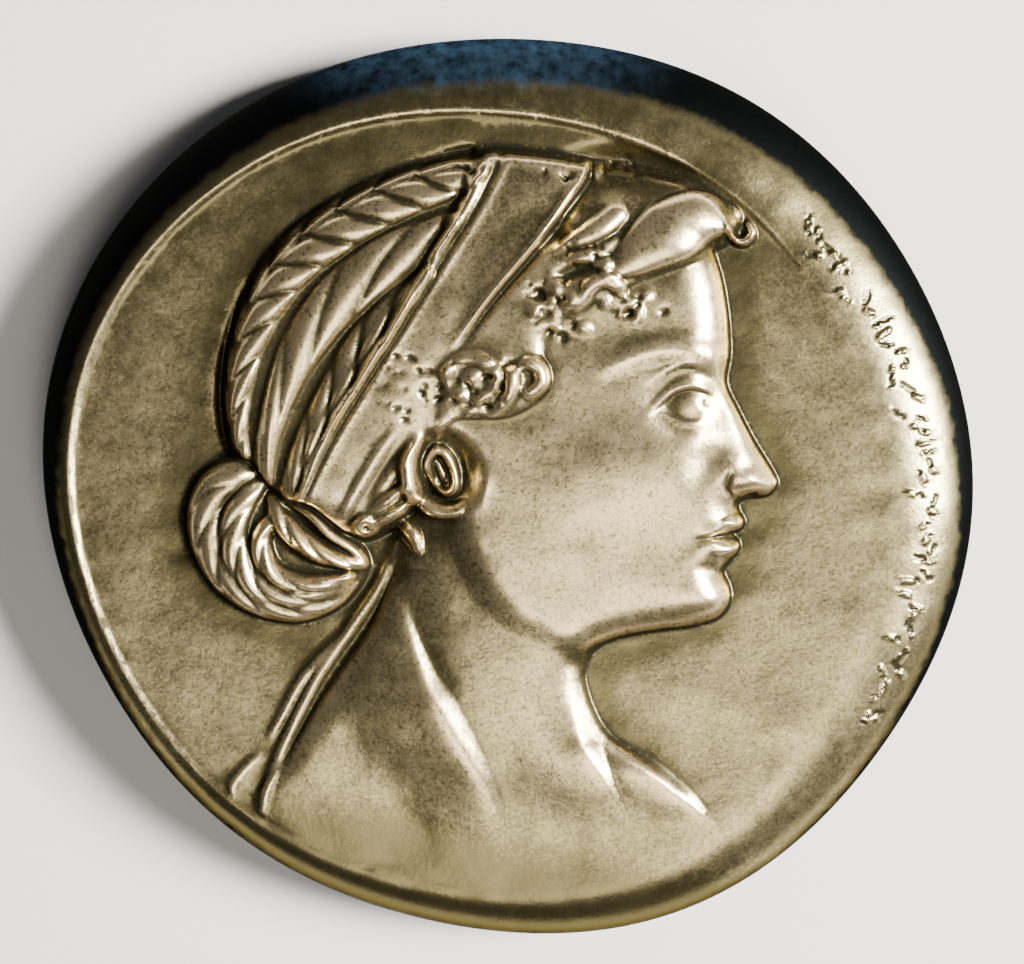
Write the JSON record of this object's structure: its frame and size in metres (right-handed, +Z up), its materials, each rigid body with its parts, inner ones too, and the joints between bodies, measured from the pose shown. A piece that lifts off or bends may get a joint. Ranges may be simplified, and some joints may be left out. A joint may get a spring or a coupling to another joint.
{
  "type": "ancient coin",
  "caption": "Hand-struck bronze coin with an irregular round flan, a classical profile bust in relief on one side and a worn wreath and star on the other.",
  "frame": {"origin": "middle of the underside, in the plane the coin rests on", "axes": "+Z up through the portrait side, +Y towards the top of the portrait, +X the way the portrait looks"},
  "size_m": [0.0266, 0.0259, 0.0046],
  "materials": {
    "bronze": "struck, worn bright on the high parts, brown patina in the hollows and dark blue-green patina round the edge"
  },
  "bodies": {
    "root": {"coin": "bronze"}
  },
  "joints": []
}
